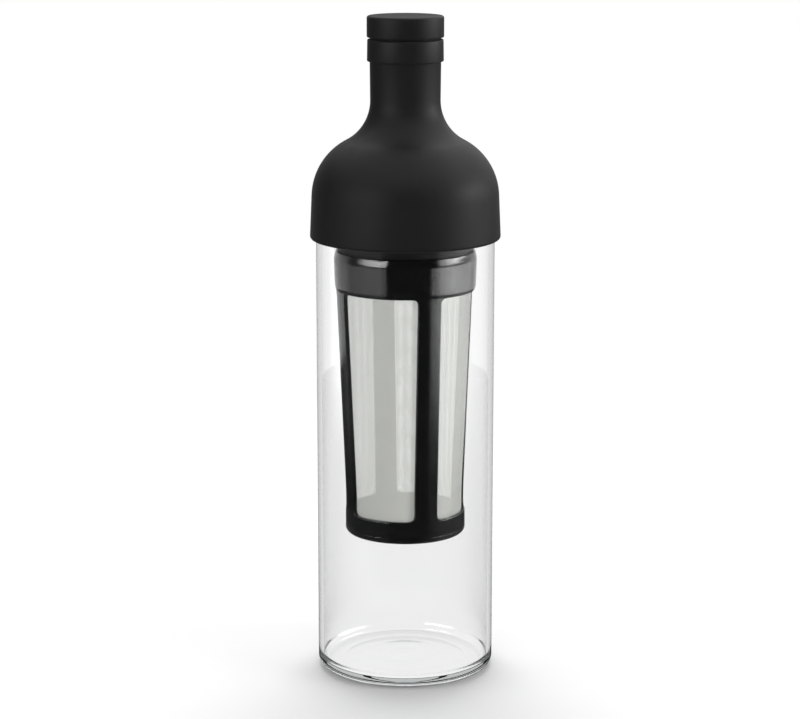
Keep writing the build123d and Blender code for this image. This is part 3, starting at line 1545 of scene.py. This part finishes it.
    def or_trapped(
        self, tree: bpy.types.NodeTree, gloss: bpy.types.NodeSocket
    ) -> bpy.types.NodeSocket:
        """Replaces what gloss mirrors where the ray turned back twice or more inside the glass.

        Args:
            tree: Node tree of the world or of the floor.
            gloss: What gloss mirrors.

        Returns:
            The brightness.
        """
        bounces = add_node(tree, "ShaderNodeLightPath").outputs["Glossy Depth"]
        twice = add_node(
            tree, "ShaderNodeMath", {"operation": "GREATER_THAN"},
            {0: bounces, 1: self.trapped_after},
        )
        trapped = add_node(
            tree, "ShaderNodeMath", {"operation": "MULTIPLY"},
            {0: twice.outputs[0], 1: self.crossings(tree, Crossed.AT_ALL)},
        )
        return add_node(
            tree, "ShaderNodeMix", {"data_type": "FLOAT"},
            {0: trapped.outputs[0], 2: gloss, 3: self.trapped},
        ).outputs[0]

    def by_ray(
        self, tree: bpy.types.NodeTree, seen: bpy.types.NodeSocket | float,
        gloss: bpy.types.NodeSocket | float, soft: bpy.types.NodeSocket | float,
    ) -> bpy.types.NodeSocket:
        """Chooses a brightness by how the ray got here.

        Args:
            tree: Node tree of the world or of the floor.
            seen: Value where the eye sees it, straight or through glass.
            gloss: Value that gloss mirrors.
            soft: Value that lights dull surfaces.

        Returns:
            The chosen value.
        """
        rays = add_node(tree, "ShaderNodeLightPath")
        mirrored = add_node(
            tree, "ShaderNodeMix", {"data_type": "FLOAT"},
            {0: rays.outputs["Glossy Depth"], 2: seen, 3: gloss},
        )
        return add_node(
            tree, "ShaderNodeMix", {"data_type": "FLOAT"},
            {0: rays.outputs["Diffuse Depth"], 2: mirrored.outputs[0], 3: soft},
        ).outputs[0]

    def room_gloss(
        self, tree: bpy.types.NodeTree, turn: bpy.types.NodeSocket, height: bpy.types.NodeSocket
    ) -> bpy.types.NodeSocket:
        """Gives what gloss mirrors of the room above the floor.

        Args:
            tree: Node tree of the world.
            turn: Angle from the front, in radians.
            height: Sine of the angle above the horizon.

        Returns:
            The brightness.
        """
        side, upper, rim = (
            self.total(tree, self.patches(tree, turn, height, boxes))
            for boxes in (self.side_boxes, self.upper_boxes, self.rim_boxes)
        )
        # The rims behind the glass mirror other boxes than the silicone outside it
        inside = self.crossings(tree, Crossed.AT_ALL)
        high = add_node(
            tree, "ShaderNodeMix", {"data_type": "FLOAT"}, {0: inside, 2: upper, 3: rim}
        )
        room = add_node(
            tree, "ShaderNodeMath", {"operation": "ADD"},
            {0: self.total(tree, [self.by_depth(tree, side), high.outputs[0]]), 1: self.room},
        )
        # Light that turns back inside the glass comes from the white backdrop
        behind = add_node(
            tree, "ShaderNodeMix", {"data_type": "FLOAT"},
            {
                0: inside,
                2: self.backdrop_glow(tree, turn, self.edge_on_start_deg, self.edge_on),
                3: self.backdrop_glow(tree, turn, self.backdrop_start_deg, self.backdrop),
            },
        )
        return self.or_trapped(tree, self.total(tree, [behind.outputs[0], room.outputs[0]]))

    def build_world(self) -> None:
        """Makes the world: white where it is seen, and softly lit for the rest."""
        world = bpy.data.worlds.new("studio")
        bpy.context.scene.world = world
        world.use_nodes = True
        world.cycles.sampling_method = "NONE"
        tree = world.node_tree
        tree.nodes.clear()
        direction = add_node(tree, "ShaderNodeTexCoord").outputs["Generated"]
        height = add_node(tree, "ShaderNodeSeparateXYZ", None, {0: direction}).outputs[2]
        gloss = self.room_gloss(tree, self.heading(tree, direction), height)
        # Light that crosses the bottle is bent away from the floor behind it
        soft = add_node(
            tree, "ShaderNodeMapRange", None,
            {
                0: self.crossings(tree, Crossed.THREE_TIMES_OR_MORE),
                3: self.sky,
                4: self.sky * self.crossed_share,
            },
        )
        strength = self.by_ray(tree, seen=1.0, gloss=gloss, soft=soft.outputs[0])
        sky = add_node(tree, "ShaderNodeBackground", None, {"Color": WHITE, "Strength": strength})
        add_node(tree, "ShaderNodeOutputWorld", None, {"Surface": sky.outputs[0]})

    def floor_gloss(
        self, tree: bpy.types.NodeTree, turn: bpy.types.NodeSocket, distance: bpy.types.NodeSocket
    ) -> bpy.types.NodeSocket:
        """Gives what gloss mirrors of the floor.

        Args:
            tree: Node tree of the floor.
            turn: Angle from the front, in radians.
            distance: Distance from the axis.

        Returns:
            The brightness.
        """
        fade = add_node(
            tree, "ShaderNodeMapRange", {"interpolation_type": "SMOOTHSTEP"},
            {
                0: distance, 1: self.floor_mirror_start, 2: self.floor_radius,
                3: self.floor_mirror_near, 4: 1.0,
            },
        )
        boxes = self.by_depth(
            tree, self.total(tree, [self.across(tree, turn, box) for box in self.side_boxes])
        )
        mirror = add_node(
            tree, "ShaderNodeMath", {"operation": "MULTIPLY_ADD"},
            {0: boxes, 1: fade.outputs[0], 2: self.floor_mirrored},
        )
        # The heel passes the light of the white floor round it
        near = add_node(
            tree, "ShaderNodeMapRange", {"interpolation_type": "SMOOTHSTEP"},
            {
                0: distance, 1: self.heel_reach * (1 - self.heel_fade),
                2: self.heel_reach * (1 + self.heel_fade), 3: self.backdrop, 4: 0.0,
            },
        )
        behind = add_node(
            tree, "ShaderNodeMath", {"operation": "MAXIMUM"},
            {
                0: near.outputs[0],
                1: self.backdrop_glow(tree, turn, self.backdrop_start_deg, self.backdrop),
            },
        )
        edge_on = self.backdrop_glow(tree, turn, self.edge_on_start_deg, self.edge_on)
        gloss = mirror.outputs[0]
        for value, crossed in (
            (behind.outputs[0], Crossed.THREE_TIMES_AT_MOST), (edge_on, Crossed.NEVER)
        ):
            gloss = add_node(
                tree, "ShaderNodeMath", {"operation": "MULTIPLY_ADD"},
                {0: value, 1: self.crossings(tree, crossed), 2: gloss},
            ).outputs[0]
        return self.or_trapped(tree, gloss)

    def whiteness(
        self, tree: bpy.types.NodeTree, distance: bpy.types.NodeSocket
    ) -> bpy.types.NodeSocket:
        """Says how white the floor is seen, through glass and near its rim.

        Args:
            tree: Node tree of the floor.
            distance: Distance from the axis.

        Returns:
            0 where its own shade is seen, and 1 where it is white.
        """
        through = add_node(
            tree, "ShaderNodeMapRange", None,
            {
                0: add_node(tree, "ShaderNodeLightPath").outputs["Transmission Depth"],
                3: 0.0, 4: self.floor_through,
            },
        )
        rim = add_node(
            tree, "ShaderNodeMapRange", {"interpolation_type": "SMOOTHSTEP"},
            {0: distance, 1: self.floor_rim, 2: self.floor_radius},
        )
        return add_node(
            tree, "ShaderNodeMath", {"operation": "MAXIMUM"},
            {0: through.outputs[0], 1: rim.outputs[0]},
        ).outputs[0]

    def floor_material(self) -> bpy.types.Material:
        """Builds the floor's material.

        Returns:
            The material.
        """
        material, tree = new_material("studio_floor")
        place = add_node(tree, "ShaderNodeTexCoord").outputs["Object"]
        distance = add_node(
            tree, "ShaderNodeVectorMath", {"operation": "LENGTH"}, {0: place}
        ).outputs["Value"]
        card = add_node(tree, "ShaderNodeBsdfDiffuse", None, {"Color": srgb(self.floor_colour)})
        lift = self.by_ray(tree, seen=self.floor_glow, gloss=0.0, soft=0.0)
        glow = add_node(tree, "ShaderNodeEmission", None, {"Color": WHITE, "Strength": lift})
        lit = add_node(tree, "ShaderNodeAddShader", None, {0: card.outputs[0], 1: glow.outputs[0]})
        gloss = self.floor_gloss(tree, self.heading(tree, place), distance)
        strength = self.by_ray(tree, seen=1.0, gloss=gloss, soft=0.0)
        mirrored = add_node(
            tree, "ShaderNodeEmission", None, {"Color": WHITE, "Strength": strength}
        )
        mixed = add_node(
            tree, "ShaderNodeMixShader", None,
            {
                0: self.by_ray(tree, seen=self.whiteness(tree, distance), gloss=1.0, soft=0.0),
                1: lit.outputs[0],
                2: mirrored.outputs[0],
            },
        )
        # From below, the floor lets the bottle's base be seen
        below = add_node(tree, "ShaderNodeNewGeometry").outputs["Backfacing"]
        clear = add_node(tree, "ShaderNodeBsdfTransparent", None, {"Color": WHITE})
        faced = add_node(
            tree, "ShaderNodeMixShader", None,
            {0: below, 1: mixed.outputs[0], 2: clear.outputs[0]},
        )
        add_node(tree, "ShaderNodeOutputMaterial", None, {"Surface": faced.outputs[0]})
        return material

    def build_floor(self) -> None:
        """Makes the floor, which keeps the bottle's shadow."""
        deselect_objects()
        bpy.ops.mesh.primitive_circle_add(
            vertices=self.floor_corners, radius=self.floor_radius, fill_type="NGON",
            location=(0, 0, -self.floor_drop),
        )
        floor = bpy.context.object
        floor.name = "floor"
        bpy.ops.object.transform_apply(location=True, rotation=True, scale=True)
        floor.data.materials.append(self.floor_material())

    def build_lamps(self) -> None:
        """Sets up the lamps, which face the middle of the bottle."""
        for box in self.lamps:
            data = bpy.data.lights.new(box.name, "AREA")
            data.shape = "RECTANGLE"
            data.size, data.size_y = box.size
            data.energy = box.power
            lamp = bpy.data.objects.new(box.name, data)
            bpy.context.scene.collection.objects.link(lamp)
            lamp.location = box.place
            aim = Vector((0, 0, self.lamp_aim)) - Vector(box.place)
            lamp.rotation_euler = aim.to_track_quat("-Z", "Y").to_euler()
            lamp.visible_glossy = False
            lamp.visible_transmission = False
            lamp.visible_camera = False

    def build_camera(self) -> None:
        """Sets up the camera that looks down on the bottle from its front."""
        data = bpy.data.cameras.new("camera")
        data.sensor_fit = "HORIZONTAL"
        data.sensor_width = self.sensor
        data.lens = self.focal_pixels / self.image_width * self.sensor
        data.clip_end = self.camera_sight
        camera = bpy.data.objects.new("camera", data)
        bpy.context.scene.collection.objects.link(camera)
        camera.location = (self.camera_x, -self.camera_distance, self.camera_height)
        camera.rotation_euler = (math.radians(90 - self.camera_pitch_deg), 0, 0)
        bpy.context.scene.camera = camera

    def build(self) -> None:
        """Builds the whole studio."""
        scene = bpy.context.scene
        scene.view_settings.view_transform = "Standard"
        scene.cycles.max_bounces = self.bounces
        scene.cycles.transmission_bounces = self.glass_bounces
        scene.cycles.glossy_bounces = self.gloss_bounces
        scene.cycles.transparent_max_bounces = self.clear_bounces
        self.build_world()
        self.build_floor()
        self.build_lamps()
        self.build_camera()


def main() -> None:
    """Builds the studio and the bottle's pieces in order."""
    logging.basicConfig(level=logging.INFO, format="%(name)s: %(message)s")
    Studio().build()
    silicone = MouldedSilicone().material()
    polypropylene = MouldedPolypropylene().material()
    GlassBottle().build(BorosilicateGlass().material())
    Spout().build(silicone)
    Stopper().build(silicone)
    strainer = Strainer()
    strainer.build_frame(polypropylene)
    strainer.build_panels(WovenPolyester().material())
    strainer.build_cover(polypropylene)


if __name__ == "__main__":
    main()
